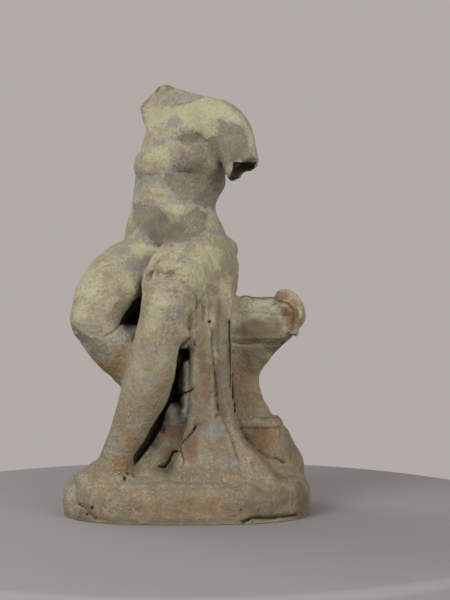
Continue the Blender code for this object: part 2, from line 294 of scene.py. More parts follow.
@dataclass(frozen=True)
class Break:
    """A broken face: a point on it, its outward direction, and the radius that it reaches, in mm."""

    middle: tuple[float, float, float]
    outward: tuple[float, float, float]
    radius: float

    def depth(self, points: Points) -> tuple[Points, Points]:
        """How points lie to the face.

        Args:
            points: places in metres, one row each.

        Returns:
            Their depths under the face and their distances along it from its middle, in metres.
        """
        normal = np.array(self.outward) / np.linalg.norm(self.outward)
        away = points - np.array(self.middle) * MM
        under = -away @ normal
        along = np.linalg.norm(away + under[:, None] * normal, axis=1)
        return under, along


def from_path(across: Points, down: Points, path: Path) -> Points:
    """Distance of places in the frame from the nearest point of a path.

    Args:
        across: places across the frame.
        down: places down the frame.
        path: the path's corners.

    Returns:
        The smallest distance over the path's runs, the nearest point of a run held between its ends.
    """
    best = np.full(len(across), 1e9)
    for (x0, y0), (x1, y1) in zip(path[:-1], path[1:]):
        run = (x1 - x0) ** 2 + (y1 - y0) ** 2
        share = np.clip(((across - x0) * (x1 - x0) + (down - y0) * (y1 - y0)) / run, 0.0, 1.0)
        best = np.minimum(best, np.hypot(across - x0 - share * (x1 - x0), down - y0 - share * (y1 - y0)))
    return best


def depth_inside(across: Points, down: Points, outline: Path) -> Points:
    """How deep places in the frame lie inside a closed outline, and below 0 outside it.

    Args:
        across: places across the frame.
        down: places down the frame.
        outline: its corners in order.

    Returns:
        The distance to the outline, whose sign comes from how many of its sides a line to the right crosses.
    """
    crossed = np.zeros(len(across), dtype=bool)
    for (x0, y0), (x1, y1) in zip(outline, (*outline[1:], outline[0])):
        spans = (y0 > down) != (y1 > down)
        meets = x0 + (down - y0) * (x1 - x0) / (y1 - y0 if y1 != y0 else 1.0)
        crossed ^= spans & (across < meets)
    gap = from_path(across, down, (*outline, outline[0]))
    return np.where(crossed, gap, -gap)


# The torn faces of the neck, the right shoulder and the left arm
FIGURE_BREAKS = (
    Break((-3, 14, 194.4), (0.30, -0.05, 1.0), 22),
    Break((-18, 27, 195), (-0.72, -0.08, 0.70), 18),
    Break((25.7, -12.5, 155), (0.50, -0.40, -0.77), 16),
)

# Lines of the torso, the lap, the cloth, the gap beside the shin, the seat, the plinth and the right knee
# A row's fourth number, where given, is how dark the line is painted: dirt and painted shade in grooves and
# cracks, and a painted shadow under the plinth's lifted edge.
LINES = tuple(Stroke(*row) for row in (
    (((176, 105), (186, 103), (191, 102), (198, 99), (204, 96), (209, 95)), 1.1, -0.6, 0.6),
    (((146, 176), (151, 175.6), (157, 174)), 1.6, -0.6, 0.35),
    (((150, 196), (162, 198), (176, 201), (190, 203), (202, 202)), 2.2, -0.55, 0.1),
    (((136, 240), (150, 246), (166, 248), (184, 244)), 2.4, -0.6, 0.15),
    (((208.7, 237.5), (192.5, 241), (185, 247), (172, 251), (160, 258), (152, 268), (146, 284)),
     1.8, -0.7, 0.4),
    (((163, 255), (157, 264), (151, 275), (144, 291)), 2.4, -1.0, 0.45),
    (((208.7, 240), (193.5, 244), (186.5, 250), (173, 254.5), (162, 261), (155, 271), (149, 286)),
     2.2, 0.7),
    (((167, 268), (176, 262), (185, 256.5), (192, 257), (198, 262)), 1.5, -0.8, 0.45),
    (((165, 272), (177, 266), (186, 261), (194, 262), (202, 272)), 2.6, 0.6),
    (((176, 272), (184, 268), (192, 270), (199, 280)), 1.6, -0.5, 0.15),
    (((167, 276.5), (170.6, 275.4), (173.5, 274.2)), 1.0, -0.6, 0.8),
    (((146, 287), (160, 281), (172.5, 278), (185, 281), (192.5, 288.5), (198.8, 300)), 2.8, 0.9),
    (((143.8, 295), (152.5, 291.3), (158.8, 290), (175, 291.3), (182.5, 294.4), (187.5, 297.5),
      (191, 303)), 1.6, -0.6, 0.25),
    (((172, 296.5), (178, 297.5), (184, 300.5), (188, 306)), 1.1, -0.5, 0.3),
    (((205, 246), (214, 262), (218, 284)), 1.8, -0.5, 0.1),
    (((198, 266), (206, 284), (210, 300), (210, 318)), 1.8, -0.6, 0.15),
    (((214, 248), (224, 268), (227, 300), (225.5, 330), (225, 360), (227, 395), (236, 428)),
     1.7, -0.3, 0.1),
    (((219, 262), (221, 300), (220, 340), (221.5, 385), (228, 420)), 2.4, 0.35),
    (((204, 276), (206.5, 300), (206, 340), (208, 380), (213, 416)), 2.2, 0.6),
    (((196, 296), (197.5, 312), (196.5, 330), (194.5, 345)), 1.4, -1.0, 0.6, -18.0),
    (((200, 300), (202.5, 310), (202.5, 322)), 1.2, -0.6, 0.4),
    (((212, 330), (213, 351), (215, 380), (218, 410), (225, 427), (232, 444), (237.5, 461)),
     1.3, -0.9, 0.22),
    (((209, 326), (209.5, 351), (211, 380), (214, 408)), 1.2, 0.4),
    (((229, 300), (229.4, 324)), 1.2, -0.8, 0.5),
    (((229.3, 321), (229.8, 344), (230.6, 366), (232, 389), (234.6, 413)), 1.9, -1.5, 1.0),
    (((233, 408), (243, 432), (252, 446), (268, 457), (285, 463)), 1.5, -1.0, 0.3),
    (((197, 326), (191, 336), (184, 344), (179, 349)), 1.2, -0.7, 0.4),
    (((196, 426), (192, 433), (182, 443), (180.7, 451.4), (173.6, 452), (169.3, 461), (165, 467),
      (160.7, 467)), 1.3, -1.6, 1.0),
    (((181, 452), (184, 459), (181, 468)), 1.1, -0.8, 0.8),
    (((179, 394), (186, 393), (190, 391), (193, 388)), 1.5, -1.2, 1.0),
    (((246, 299), (262, 298), (276, 299)), 6.5, 2.6, 0.0, 12.0, (0.0, 1.0, 0.0)),
    (((272, 304), (280, 303), (287, 304.5), (293, 312), (292, 320), (290, 332)), 1.8, -1.4, 0.5),
    (((284, 291), (290, 296), (295, 304), (297, 316)), 1.0, -0.8, 0.5),
    (((280, 289), (288, 291), (297, 297), (301, 306), (300, 318)), 1.6, 0.8),
    (((275, 292), (283, 294), (289, 300)), 1.3, -0.6, 0.3),
    (((236, 314), (256, 314), (278, 315), (288, 316)), 1.4, -0.5, 0.2),
    (((234, 337), (256, 338), (276, 338), (290, 335)), 1.8, 0.7),
    (((234, 343), (255, 344), (272, 344.5), (286, 342)), 1.6, -0.9, 0.6),
    (((238, 421), (260, 421), (282, 420)), 2.2, 0.9),
    (((238, 428), (260, 428.5), (281, 427.5)), 1.3, -0.9, 0.55),
    (((282, 424), (281, 440), (283, 462)), 1.2, -0.7, 0.45),
    (((273, 457), (279, 460), (285, 463)), 1.3, -0.6, 0.7),
    (((241.7, 523), (251.7, 518), (273, 518), (296, 515)), 1.7, -1.8, 1.0),
    (((79, 504), (86, 508), (95, 519)), 1.7, -1.1, 0.8),
    (((96, 486), (130, 488), (170, 488), (205, 487), (240, 486)), 1.6, -0.5, 0.2),
    (((272, 495), (273, 515)), 1.0, -0.5, 0.35),
    (((288, 494), (289, 513)), 1.0, -0.5, 0.3),
    (((105, 337), (113, 332), (120, 325)), 1.1, -0.7, 0.5),
))

# Soft corrections of the front's forms
SWELLS = tuple(Swell(*row) for row in (
    (166, 88, 11, 5, (0.0, -0.6, 2.0)),
    (219, 187, 9, 13, (3.2, -1.5, 0.0)),
    (214, 168, 8, 11, (1.5, -3.2, 0.0)),
    (168, 226, 28, 13, (0.0, -2.2, -0.3)),
    (158, 160, 12, 10, (-0.2, -1.4, 0.0)),
    (194, 160, 13, 11, (0.0, -1.0, 0.0)),
    (190, 314, 7, 15, (2.0, -2.4, 0.0)),
    (203, 298, 8, 11, (0.0, -2.8, 0.0)),
    (213, 294, 6, 10, (0.0, -1.5, 0.0)),
    (130, 336, 9, 9, (0.0, -2.5, 0.6)),
    (186, 468, 10, 8, (0.0, -1.6, 0.4)),
    (248, 177, 9, 6, (-1.8, 0.0, 2.2)),
    (155, 427, 9, 26, (-3.2, 0.0, 0.0)),
    (140, 452, 9, 14, (-2.8, 0.0, 0.0)),
    (134, 288, 7, 13, (1.2, -3.2, 0.0)),
    (182, 335, 6, 9, (3.2, -0.6, 0.0)),
    (296, 312, 6, 14, (0.8, -1.8, 0.0)),
    (150, 205, 14, 5, (0.0, 0.5, 0.0)),
    (302, 328, 5, 7, (-1.6, 0.0, 0.3)),
    (246, 298, 7, 4, (0.0, 0.0, 0.6)),
    (262, 298, 8, 4, (0.0, 0.0, -0.7)),
    (299, 441, 9, 12, (-4.2, 0.0, 0.0)),
    (258, 398, 7, 9, (1.6, 0.0, 0.0)),
    (264, 407, 8, 7, (2.4, 0.0, 0.5)),
    (274, 414, 8, 6, (2.0, 0.0, 0.3)),
    (263, 357, 8, 9, (1.6, 0.0, 0.0)),
))

# The slots beside the knee, behind the cloth's edge and over the heel
INFILLS = (
    Infill(((176, 349), (178, 337), (181, 325), (190, 316), (200, 326), (199, 349)), -27.5),
    Infill(((180, 354), (179, 376), (179, 392), (182, 418), (197, 426), (197, 352)), -20.5),
    Infill(((168, 403), (184, 402), (191, 411), (196, 424), (189, 437), (183, 446), (179, 456), (168, 468),
            (138, 468), (152, 452), (160, 440), (164, 424)), -15.5),
)

# Blades, waist, flank, neck, shoulder and hips
LUMPS = tuple(Lump(*row) for row in (
    ((-3.0, 31.0, 166.0), (8.0, 8.0, 11.0), (1.3, 1.8, 0.0)),
    ((17.0, 18.5, 165.0), (8.0, 8.0, 11.0), (1.8, 1.6, 0.0)),
    ((2.5, 28.0, 136.0), (14.0, 9.0, 10.0), (-2.0, -2.8, 0.0)),
    ((12.0, 18.0, 136.0), (8.0, 8.0, 9.0), (-1.4, -1.0, 0.0)),
    ((-16.0, 27.0, 150.0), (7.0, 8.0, 9.0), (1.6, -1.6, 0.0)),
    ((-12.0, 30.0, 195.0), (9.0, 9.0, 12.0), (0.0, -5.5, 0.0), True),
    ((-14.0, 33.0, 182.0), (9.0, 7.0, 8.0), (0.8, -1.6, 0.0)),
    ((4.0, 24.0, 186.0), (8.0, 7.0, 8.0), (-1.6, -2.2, 0.0)),
    ((-12.0, 37.0, 103.0), (10.0, 7.0, 9.0), (0.0, 1.8, 0.0)),
    ((12.0, 37.0, 103.0), (10.0, 7.0, 9.0), (0.8, 1.8, 0.0)),
))

SPINE = ((-0.5, 37.0, 112.0), (3.5, 31.0, 130.0), (5.0, 27.0, 148.0), (9.0, 25.0, 163.0),
         (10.0, 24.0, 173.0), (8.0, 22.0, 185.0))

BACK_FOLDS = (
    ((22.0, 28.0, 117.0), (8.0, 37.0, 108.0), (-8.0, 39.0, 104.0), (-24.0, 35.0, 101.0)),
    ((26.0, 20.0, 112.0), (20.0, 34.0, 101.0), (4.0, 40.0, 97.0)),
    ((27.0, 10.0, 114.0), (27.0, 16.0, 100.0), (25.0, 24.0, 95.0)),
)

# The gap between the thighs, the gap beside the shin and the arm's cavity, each painted black inside as
# painted shade
HOLLOWS = (
    Hollow(((142, 296.5), (137, 299), (133, 303), (130.5, 307.5), (126, 313), (123, 318),
            (119.5, 324), (127, 324.3), (134, 323.6), (138.5, 325.5), (140, 320),
            (141, 311), (143, 300)), 4.0,
           nearest=-22.0, furthest=20.0),
    Hollow(((178, 350), (191, 347), (190, 358), (182.5, 362), (181, 372), (180.5, 388),
            (181.5, 395), (178, 401), (171, 402.5), (166.5, 409), (161, 424), (155, 438),
            (148, 448), (139, 459), (130, 469), (125, 477), (123.5, 474), (130, 462),
            (138, 449), (147, 432), (156, 415), (165, 403), (171, 390)), 4.0,
           nearest=-21.0, furthest=20.0),
    Hollow(((234, 163.4), (247.8, 163.2), (255.5, 162.2), (253, 170), (244, 175),
            (233, 180), (230, 179), (233.4, 170.5)), 4.0,
           nearest=-22.0, furthest=4.0),
)

# Each pit is also painted dark: dirt and painted shade in it.
PITS = tuple(Pit(*row) for row in (
    (209.4, 321.6, 1.6, 1.8),
    (125, 478.6, 2.2, 1.2),
    (128, 474, 1.4, 0.9),
    (92, 508, 2.0, 0.9),
    (87, 514, 1.6, 0.8),
))

# Large patches on the torso and the right knee
OUTLINED: dict[Tint, tuple[Path, ...]] = {
    Tint.STAIN: (
        ((180, 129), (192, 131), (204, 136), (214, 140), (219, 136), (217, 119), (228, 121), (240, 127),
         (246, 140), (250, 152), (254, 161), (236, 163), (232, 170), (229, 180), (224, 190), (214, 205),
         (200, 206), (188, 203), (178, 196), (168, 188), (161, 181), (166, 173), (173, 168), (178, 160),
         (186, 153), (190, 147), (182, 140)),
        ((133, 206), (146, 204), (157, 208), (165, 217), (172, 223), (180, 220), (188, 214), (197, 208),
         (206, 214), (208, 226), (200, 234), (188, 240), (174, 246), (160, 244), (150, 240), (140, 232),
         (134, 220)),
        ((69, 322), (78, 329), (90, 339), (104, 345), (112, 352), (104, 358), (90, 350), (76, 338)),
    ),
    Tint.GOLD: (
        ((143, 108), (165, 106), (185, 104), (205, 96), (218, 99), (228, 105), (240, 113), (245, 120),
         (232, 118), (217, 116), (216, 126), (215, 137), (204, 133), (192, 128), (182, 122), (172, 118),
         (160, 124), (150, 131), (144, 122)),
    ),
}

# Smaller spots of each tint, from the top down in the main
PATCHES = {tint: tuple(Spot(*row) for row in rows) for tint, rows in {
    Tint.GOLD: (
        (252, 145, 6, 18), (213, 136, 6, 4), (158, 154, 15, 11, 0.8), (158, 190, 18, 8, 0.7),
        (184, 266, 22, 10, 0.7), (138, 252, 9, 11), (165, 210, 5, 6), (179, 213, 8, 8),
        (210, 255, 24, 16, 0.8), (200, 282, 16, 14, 0.6), (165, 300, 20, 7, 0.7), (90, 285, 16, 22, 0.7),
        (80, 312, 9, 10, 0.8), (155, 318, 12, 16, 0.7), (128, 282, 14, 10, 0.6), (222, 290, 7, 20, 0.5),
        (255, 304, 18, 6, 0.5), (288, 298, 8, 6, 0.4),
    ),
    Tint.STAIN: (
        (225, 225, 12, 10, 0.5), (216, 288, 6, 8, 0.6), (145, 345, 10, 10, 0.5), (190, 345, 6, 10, 0.8),
    ),
    Tint.SLATE: (
        (180, 97, 29, 7), (174, 121, 8, 7), (160, 141, 13, 5), (176, 136, 9, 5, 0.9), (138, 178, 8, 22, 1.2),
        (152, 179, 13, 7, 1.2), (168, 182, 12, 8, 0.9), (176, 163, 7, 9, 0.9), (180, 200, 12, 8),
        (196, 208, 9, 8), (185, 130, 8, 6, 0.8), (217, 122, 5, 7, 0.8), (160, 206, 8, 5, 0.8),
        (197, 232, 10, 9, 0.6), (219, 233, 12, 7), (120, 252, 14, 6), (136, 265, 17, 8),
        (175, 314, 14, 12, 0.8), (176, 301, 9, 4, 0.7), (213, 430, 18, 11, 0.8), (178, 416, 14, 12),
        (188, 375, 6, 18), (189, 408, 6, 18), (206, 268, 5, 6, 0.6), (236, 350, 6, 7, 0.7),
        (92, 330, 12, 7, 0.6), (118, 318, 6, 12, 0.8), (225, 122, 5, 6, 0.5), (222, 222, 8, 10, 0.5),
        (152, 350, 10, 10, 0.5), (230, 460, 20, 10, 0.5), (220, 415, 5, 8, 0.6), (150, 380, 9, 12, 0.4),
    ),
    Tint.RUST: (
        (184, 149, 7, 8, 0.7), (158, 194, 9, 4, 0.5), (190, 320, 5, 15), (190, 346, 5, 12, 0.8),
        (202, 375, 9, 44, 0.75), (112, 364, 22, 22, 0.9), (162, 387, 8, 8, 0.7), (134, 440, 12, 18, 0.7),
        (120, 465, 12, 14), (244, 380, 14, 40, 0.7), (256, 400, 10, 20, 0.5), (262, 327, 30, 9, 0.6),
        (262, 443, 22, 18), (175, 507, 64, 12, 0.65), (282, 480, 16, 10, 0.3), (145, 340, 9, 12, 0.6),
        (120, 306, 5, 8, 0.6), (88, 305, 9, 10, 0.4), (169, 246, 14, 3, 0.5), (293, 316, 8, 18, 1.2),
        (150, 401, 10, 14, 0.4), (212, 305, 5, 8, 0.5), (222, 345, 4, 10, 0.5), (150, 470, 10, 4, 0.5),
    ),
    Tint.ROSE: (
        (148, 99, 8, 8, 0.8), (160, 87, 9, 5, 0.8), (173, 86, 6, 4, 0.7), (281, 297, 9, 6),
        (190, 449, 9, 16, 0.9), (171, 432, 11, 9, 0.9), (132, 344, 6, 4, 0.6), (165, 455, 12, 8, 0.5),
        (197, 338, 4, 8, 0.6),
    ),
    # Dark spots in a fold, on the plinth and beside the gaps: dirt and painted shade.
    Tint.DIRT_AND_SHADE: (
        (156, 266, 4, 9, 0.3), (85, 512, 7, 6, 0.4), (163, 426, 5, 14, 0.45), (155, 444, 6, 10, 0.4),
        (133, 467, 6, 6, 0.4),
    ),
    # Spots of brown earth and painted shade, darkening the hand, the panel, the seat and the plinth where
    # shade falls.
    Tint.EARTH_AND_SHADE: (
        (294, 314, 12, 22, 0.6), (204, 385, 8, 40, 0.6), (262, 327, 30, 9, 0.5), (290, 440, 12, 24, 0.9),
        (300, 495, 16, 26, 0.9), (262, 350, 28, 12, 0.6), (120, 308, 8, 10, 0.6),
    ),
    # Spots of painted shade, darkening where shade falls on the belly, the panel, the seat, the legs and the
    # plinth.
    Tint.PAINTED_SHADE: (
        (162, 226, 30, 16, 0.8), (200, 222, 10, 12, 0.5), (188, 210, 6, 6, 0.4), (230, 272, 9, 30, 0.4),
        (222, 360, 11, 74), (204, 366, 9, 60, 0.75), (196, 410, 6, 30, 0.8), (262, 332, 36, 13),
        (296, 320, 9, 16, 0.5), (276, 347, 20, 10, 1.1), (273, 323, 14, 12, 0.9), (252, 362, 18, 20, 0.6),
        (268, 502, 48, 18, 0.8), (302, 502, 12, 28, 1.1), (200, 508, 64, 12, 0.5), (134, 428, 14, 34, 0.5),
        (150, 375, 14, 36, 0.35), (192, 440, 9, 22, 0.8), (190, 408, 5, 18, 0.8), (202, 418, 12, 18, 0.7),
        (290, 446, 10, 22, 0.8), (262, 440, 22, 16, 0.6), (192, 137, 18, 8, 0.9), (236, 148, 10, 14, 0.6),
        (160, 420, 5, 20, 0.5), (192, 190, 16, 10, 0.35), (142, 134, 6, 12, 0.4), (165, 129, 10, 5, 0.4),
    ),
    # Spots of pale ash grey and painted light, lightening places that lie in shade and the plinth's
    # highlights.
    Tint.ASH_AND_PAINTED_LIGHT: (
        (129, 335, 14, 11), (127, 304, 5, 10, 0.9), (120, 316, 5, 9, 0.6), (222, 174, 6, 14, 0.7),
        (228, 168, 5, 9, 0.9), (187, 380, 6, 28, 0.6), (84, 484, 20, 12, 0.5), (72, 496, 9, 22, 0.6),
        (140, 480, 50, 7, 0.5), (76, 505, 12, 12, 0.4), (250, 421, 16, 4, 0.6), (260, 303, 28, 6, 0.4),
        (176, 414, 9, 8, 0.4),
    ),
    Tint.CHALK: (
        (129, 334, 12, 9), (192, 230, 12, 8, 0.8), (155, 266, 10, 16, 0.6), (80, 312, 11, 9, 0.6),
        (119, 472, 9, 7, 0.9), (214, 372, 5, 44, 0.7), (178, 456, 14, 10, 0.6), (228, 170, 5, 9),
        (288, 328, 8, 10, 0.5), (240, 420, 14, 8, 0.5), (72, 480, 8, 8, 0.6), (240, 460, 12, 8, 0.4),
    ),
}.items()}


@dataclass
class Skin:
    """The clay skin: a fine closed copy of the solid with its folds, cracks, pits and broken faces.

    Fields: node, the solid that it copies; voxel, the side of the first net's squares in metres; easing and
    filling, rounds of smoothing; inward and outward, the shares that an easing round moves a point;
    triangles, how many are kept; see_through, how far in metres behind the nearest point a point still counts
    as seen; square and squares, the size in frame units and the numbers down and across of the squares that
    seeing is worked out in; patch_edge, half the frame units over which a large patch fades.
    """

    node: str = "seated_woman"
    sight: Sight = field(default_factory=Sight)
    voxel: float = 0.55 * MM
    easing: int = 14
    inward: float = 0.62
    outward: float = 0.30
    filling: int = 30
    triangles: int = 194_000
    see_through: float = 2.5 * MM
    square: float = 2.0
    squares: tuple[int, int] = (400, 300)
    patch_edge: float = 3.0

    def dense(self) -> bpy.types.Mesh:
        """The solid's surface as an even net of small squares.

        Returns:
            A mesh of the node's merged copy after a voxel remesh.
        """
        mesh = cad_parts[self.node].data.copy()
        shell = bmesh.new()
        shell.from_mesh(mesh)
        bmesh.ops.remove_doubles(shell, verts=shell.verts, dist=0.001 * MM)
        shell.to_mesh(mesh)
        shell.free()
        holder = bpy.data.objects.new("clay core", mesh)
        bpy.context.scene.collection.objects.link(holder)
        remesh = holder.modifiers.new("even net", "REMESH")
        remesh.mode = "VOXEL"
        remesh.voxel_size = self.voxel * 1.0
        made = self.settled(holder)
        bpy.data.objects.remove(holder)
        return made

    @staticmethod
    def settled(holder: bpy.types.Object) -> bpy.types.Mesh:
        """The mesh of an object with its modifiers worked in."""
        graph = bpy.context.evaluated_depsgraph_get()
        return bpy.data.meshes.new_from_object(holder.evaluated_get(graph), depsgraph=graph)

    @staticmethod
    def read(rows: bpy.types.bpy_prop_collection, name: str, kind: type, width: int) -> Points:
        """A property of every row of one of the mesh's lists.

        Args:
            rows: the list.
            name: the property.
            kind: the type of its numbers.
            width: how many numbers it has.

        Returns:
            The numbers, one row each.
        """
        flat = np.empty(len(rows) * width, dtype=kind)
        rows.foreach_get(name, flat)
        return flat.reshape(-1, width)

    def corners(self, mesh: bpy.types.Mesh) -> Points:
        """The mesh's points, one row each."""
        return self.read(mesh.vertices, "co", np.float32, 3).astype(float)

    def directions(self, mesh: bpy.types.Mesh) -> Points:
        """The outward direction at each point of the mesh, one row each."""
        return self.read(mesh.vertex_normals, "vector", np.float32, 3).astype(float)

    def links(self, mesh: bpy.types.Mesh) -> Points:
        """The mesh's edges as pairs of point numbers."""
        return self.read(mesh.edges, "vertices", np.int32, 2)

    @staticmethod
    def put(mesh: bpy.types.Mesh, points: Points) -> None:
        """Gives the mesh new points."""
        mesh.vertices.foreach_set("co", points.astype(np.float32).ravel())
        mesh.update()

    @staticmethod
    def neighbours_mean(values: Points, edges: Points) -> Points:
        """The mean of each point's neighbours.

        Args:
            values: one row a point.
            edges: pairs of point numbers.

        Returns:
            Rows of the same shape: the sum over the edges at a point over their number.
        """
        count = len(values)
        degree = np.bincount(edges.ravel(), minlength=count).astype(float)
        columns = values.reshape(count, -1)
        means = np.empty_like(columns)
        for column in range(columns.shape[1]):
            one = columns[:, column]
            total = np.bincount(edges[:, 0], one[edges[:, 1]], count)
            total += np.bincount(edges[:, 1], one[edges[:, 0]], count)
            means[:, column] = total / np.maximum(degree, 1.0)
        return means.reshape(values.shape)

    def eased(self, points: Points, edges: Points) -> Points:
        """Points with the solid's flat facets smoothed away.

        Each round moves a point a share of the way to its neighbours' mean, and then a smaller share back
        out, so that the form loses little of its size.

        Args:
            points: places in metres, one row each.
            edges: pairs of point numbers.

        Returns:
            The moved points.
        """
        for _ in range(self.easing):
            points = points + self.inward * (self.neighbours_mean(points, edges) - points)
            points = points - self.outward * (self.neighbours_mean(points, edges) - points)
        return points

    def seen(self, points: Points, normals: Points) -> Points:
        """Which points the eye sees.

        A grid over the frame keeps the nearest reach in each square; a point counts where it is hardly
        further than that and faces the eye.

        Args:
            points: places in metres, one row each.
            normals: their outward directions.

        Returns:
            A number from 0 to 1 for each.
        """
        across, down, reach = self.sight.place(points)
        column = np.clip((across / self.square).astype(int), 0, self.squares[1] - 1)
        row = np.clip((down / self.square).astype(int), 0, self.squares[0] - 1)
        nearest = np.full(self.squares, 9.0)
        np.minimum.at(nearest, (row, column), reach)
        behind = reach - nearest[row, column]
        front = smoothstep(self.sight.facing(points, normals), 0.02, 0.25)
        return front * (behind < self.see_through)

    def broken(self, points: Points) -> Points:
        """Points with the broken faces pressed flat and roughened.

        A point just under a face's plane and inside its radius goes to the plane, lowered by noise.

        Args:
            points: places in metres, one row each.

        Returns:
            The moved points.
        """
        for number, face in enumerate(FIGURE_BREAKS):
            under, along = face.depth(points)
            normal = np.array(face.outward) / np.linalg.norm(face.outward)
            inside = (along < face.radius * MM) & (under < 1.1 * MM) & (under > -2.0 * MM)
            rough = 0.30 * MM * (1.0 + noise(points, 3.0 * MM, 40 + number)) + 0.12 * MM
            rough += 0.25 * MM * np.maximum(noise(points, 1.2 * MM, 50 + number, 2), 0.0)
            move = np.where(inside, under - np.minimum(rough, under + 1.2 * MM), 0.0)
            move = np.where(inside & (under > rough), 0.0, move)
            points = points + move[:, None] * normal
        return points

    def filled(self, points: Points, edges: Points) -> Points:
        """Points with the slots closed, and the new clay smoothed into what is round it.

        Inside an outline no point of the slot lies further back than its level. The points near that level
        are then moved towards their neighbours' mean, round after round.

        Args:
            points: places in metres, one row each.
            edges: pairs of point numbers.

        Returns:
            The moved points.
        """
        across, down, _ = self.sight.place(points)
        fresh = np.zeros(len(points))
        for fill in INFILLS:
            margin = depth_inside(across, down, fill.outline)
            slot = (points[:, 1] > fill.level * MM) & (points[:, 1] < 14.0 * MM)
            deep = np.where(slot, smoothstep(margin, -0.8, 1.2), 0.0)
            points = points.copy()
            points[:, 1] += deep * (fill.level * MM - points[:, 1])
            near = np.abs(points[:, 1] - fill.level * MM) < 5.0 * MM
            fresh = np.maximum(fresh, smoothstep(margin, -5.0, 0.5) * near)
        for _ in range(self.filling):
            points = points + 0.7 * fresh[:, None] * (self.neighbours_mean(points, edges) - points)
        return points

    def swelled(self, points: Points, normals: Points) -> Points:
        """Points with the soft forms pushed out or in.

        A form is a ball on the surface point under its middle, stretched to its size; its push fades from
        the middle by exp(-distance^2).

        Args:
            points: places in metres, one row each.
            normals: their outward directions.

        Returns:
            The moved points.
        """
        across, down, _ = self.sight.place(points)
        shown = np.flatnonzero(self.seen(points, normals) > 0.2)
        moved = points.copy()
        for form in SWELLS:
            middle, share = self.under(form, points, across, down, shown)
            wide, tall = form.wide * share, form.tall * share
            size = np.array([wide, 0.5 * (wide + tall) + 2.0 * MM, tall])
            weight = np.exp(-np.sum(((points - middle) / size) ** 2, axis=1))
            moved += weight[:, None] * np.array(form.push) * MM
        return moved

    def under(self, mark: "Swell | Spot", points: Points, across: Points, down: Points,
              shown: Points) -> tuple[Points, float]:
        """Where a mark lies on the clay.

        Args:
            mark: a form or spot with its middle in the photograph's frame.
            points: places in metres, one row each.
            across: their places across the frame.
            down: their places down the frame.
            shown: the numbers of the points that the eye sees.

        Returns:
            The seen point nearest to the mark's middle, and the metres in a frame unit there.
        """
        gap = (across[shown] - mark.across) ** 2 + (down[shown] - mark.down) ** 2
        middle = points[shown[np.argmin(gap)]]
        return middle, (middle[1] - self.sight.back) / self.sight.pull

    def drawn(self, points: Points, normals: Points) -> tuple[Points, Points]:
        """What the lines, holes and pits do to the clay.

        Across a line the section is a bell, exp(-(distance/width)^2). A hole goes straight back inside its
        outline, and takes in the flanks round it that turn from the eye.

        Args:
            points: places in metres, one row each.
            normals: their outward directions.

        Returns:
            Each point's move in metres, and how dark it is painted from 0 to 1, as grime and painted shade.
        """
        across, down, _ = self.sight.place(points)
        across = across + 0.9 * noise(points, 5.0 * MM, 3, 2)
        down = down + 0.9 * noise(points, 5.0 * MM, 4, 2)
        view = self.seen(points, normals)
        depth = points[:, 1] / MM
        flank = (self.sight.facing(points, normals) > -0.2) & (depth < 0.0)
        move = np.zeros_like(points)
        dirt_and_shade = np.zeros(len(points))
        for line in LINES:
            near = (1.0 - smoothstep(depth, line.furthest - 0.5, line.furthest + 0.5)) * view
            gap = from_path(across, down, line.path)
            bell = near * np.exp(-(gap / line.width) ** 2)
            way = normals if line.push is None else np.array(line.push)
            move += line.lift * MM * bell[:, None] * way
            # A line is painted dark along its middle: dirt and painted shade in the groove.
            if line.dirt_and_shade:
                dirt_and_shade = np.maximum(dirt_and_shade, line.dirt_and_shade * near * np.exp(-(gap / (0.75 * line.width)) ** 2))
        for hole in HOLLOWS:
            near = smoothstep(depth, hole.nearest - 1.0, hole.nearest + 1.5)
            near = near * (depth < hole.furthest) * (flank | (view > 0.0))
            margin = depth_inside(across, down, hole.outline)
            move[:, 1] += hole.depth * MM * smoothstep(margin, -0.7, 0.9) * near
            # The hole's inside is painted black: painted shade.
            dirt_and_shade = np.maximum(dirt_and_shade, smoothstep(margin, -2.0, 0.0) * near)
        for pit in PITS:
            gap = np.hypot(across - pit.across, down - pit.down)
            bell = np.exp(-(gap / pit.radius) ** 4) * view
            move -= pit.depth * MM * bell[:, None] * normals
            # The pit is painted dark: dirt and painted shade.
            dirt_and_shade = np.maximum(dirt_and_shade, bell)
        return move, dirt_and_shade

    @staticmethod
    def from_line(points: Points, path: tuple) -> Points:
        """Distance of points from the nearest point of a path through space.

        Args:
            points: places in metres, one row each.
            path: the path's corners in mm.

        Returns:
            The distances in metres, the nearest point of a run held between its ends.
        """
        best = np.full(len(points), 1.0)
        for first, last in zip(path[:-1], path[1:]):
            start, run = np.array(first) * MM, (np.array(last) - np.array(first)) * MM
            share = np.clip((points - start) @ run / (run @ run), 0.0, 1.0)
            best = np.minimum(best, np.linalg.norm(points - start - share[:, None] * run, axis=1))
        return best

